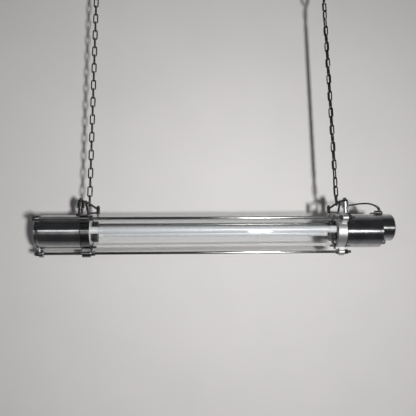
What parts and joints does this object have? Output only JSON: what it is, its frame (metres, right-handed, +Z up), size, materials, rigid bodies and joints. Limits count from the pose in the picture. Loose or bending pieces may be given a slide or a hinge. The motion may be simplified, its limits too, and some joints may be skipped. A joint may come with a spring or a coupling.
{
  "type": "chain-hung tube pendant light",
  "caption": "Industrial pendant light: cast end housings joined by a clear glass tube with lighting tubes and outer tie rods, hung by long-link chains from ceiling hooks.",
  "frame": {"origin": "in the ceiling plane, midway between the two ceiling plates", "axes": "+X along the lamp towards the end where the flex goes in, +Y away from the viewer, +Z up"},
  "size_m": [1.3145, 0.163, 1.1134],
  "materials": {
    "painted_plate": "satin paint",
    "zinc_steel": "bright zinc plate",
    "black_plastic": "moulded, satin",
    "flex_rubber": "smooth matt",
    "cast_metal": "polished casting",
    "gasket_rubber": "matt",
    "steel_fixings": "stainless",
    "holder_plastic": "moulded",
    "clear_glass": "clear",
    "rod_steel": "polished stainless",
    "white_plate": "white paint",
    "tube_diffuser": "opal, satin",
    "tube_cap": "moulded",
    "pin_brass": "bare",
    "rotor_plastic": "moulded"
  },
  "bodies": {
    "ceiling_fixings": {"left_ceiling_plate": "painted_plate", "right_ceiling_plate": "painted_plate", "left_ceiling_hook": "zinc_steel", "right_ceiling_hook": "zinc_steel", "outlet_bush": "black_plastic", "flex_top": "flex_rubber"},
    "left_top_link": {"left_top_link": "zinc_steel"},
    "right_top_link": {"right_top_link": "zinc_steel"},
    "left_chain": {"left_chain": "zinc_steel"},
    "right_chain": {"right_chain": "zinc_steel", "flex_woven": "flex_rubber"},
    "left_end_link": {"left_end_link": "zinc_steel"},
    "right_end_link": {"right_end_link": "zinc_steel"},
    "lamp": {"left_end_plate": "cast_metal", "left_housing": "cast_metal", "flange_gaskets": "gasket_rubber", "left_ring": "cast_metal", "right_ring": "cast_metal", "right_housing": "cast_metal", "cover_gasket": "gasket_rubber", "right_end_cover": "cast_metal", "cover_screws": "steel_fixings", "terminal_block": "holder_plastic", "glass_tube": "clear_glass", "left_glass_seal": "gasket_rubber", "right_glass_seal": "gasket_rubber", "left_glass_rest": "black_plastic", "right_glass_rest": "black_plastic", "rest_screws": "steel_fixings", "front_tie_rod": "rod_steel", "rear_tie_rod": "rod_steel", "bottom_tie_rod": "rod_steel", "rod_nuts": "steel_fixings", "acorn_nuts": "steel_fixings", "left_pillar": "rod_steel", "right_pillar": "rod_steel", "pillar_bolts": "steel_fixings", "left_bail": "rod_steel", "right_bail": "rod_steel", "bail_bolts": "steel_fixings", "bail_nuts": "steel_fixings", "gland_body": "black_plastic", "gland_nut": "black_plastic", "flex_arc": "flex_rubber", "left_carrier": "white_plate", "right_carrier": "white_plate", "carrier_screws": "steel_fixings", "left_lampholder": "holder_plastic", "right_lampholder": "holder_plastic", "holder_screws": "steel_fixings", "left_tube_saddle": "black_plastic", "right_tube_saddle": "black_plastic"},
    "front_tube": {"front_diffuser": "tube_diffuser", "front_caps": "tube_cap", "front_pins": "pin_brass", "front_rotors": "rotor_plastic"},
    "rear_tube": {"rear_diffuser": "tube_diffuser", "rear_caps": "tube_cap", "rear_pins": "pin_brass", "rear_rotors": "rotor_plastic"}
  },
  "joints": [
    {"name": "right_swing", "type": "hinge", "parent": "ceiling_fixings", "child": "right_top_link", "pos_m": [0.461, 0, -0.052], "axis": [1, 0, 0], "range_deg": [-12, 12], "deforming": ["flex_top"]},
    {"name": "left_swing", "type": "hinge", "parent": "ceiling_fixings", "child": "left_top_link", "pos_m": [-0.461, 0, -0.052], "axis": [1, 0, 0], "range_deg": [-12, 12]},
    {"name": "right_sway", "type": "hinge", "parent": "right_top_link", "child": "right_chain", "pos_m": [0.461, 0, -0.0855], "axis": [0, 1, 0], "range_deg": [-10, 10]},
    {"name": "left_sway", "type": "hinge", "parent": "left_top_link", "child": "left_chain", "pos_m": [-0.461, 0, -0.0855], "axis": [0, 1, 0], "range_deg": [-10, 10]},
    {"name": "right_level", "type": "hinge", "parent": "right_chain", "child": "right_end_link", "pos_m": [0.461, 0, -0.8852], "axis": [0, 1, 0], "range_deg": [-10, 10]},
    {"name": "left_level", "type": "hinge", "parent": "left_chain", "child": "left_end_link", "pos_m": [-0.461, 0, -0.8852], "axis": [0, 1, 0], "range_deg": [-10, 10]},
    {"name": "lamp_rock", "type": "hinge", "parent": "right_end_link", "child": "lamp", "pos_m": [0.461, 0, -0.9174], "axis": [1, 0, 0], "range_deg": [-15, 15], "deforming": ["flex_arc"]},
    {"name": "front_tube_turn", "type": "hinge", "parent": "lamp", "child": "front_tube", "pos_m": [0, -0.02586, -1.01868], "axis": [1, 0, 0], "range_deg": [0, 90]},
    {"name": "rear_tube_turn", "type": "hinge", "parent": "lamp", "child": "rear_tube", "pos_m": [0, 0.02586, -1.02412], "axis": [1, 0, 0], "range_deg": [0, 90]}
  ],
  "couplings": [
    {"joint": "left_swing", "follows": "right_swing", "ratio": 1},
    {"joint": "left_sway", "follows": "right_sway", "ratio": 1},
    {"joint": "right_level", "follows": "right_sway", "ratio": -1},
    {"joint": "left_level", "follows": "right_sway", "ratio": -1}
  ]
}
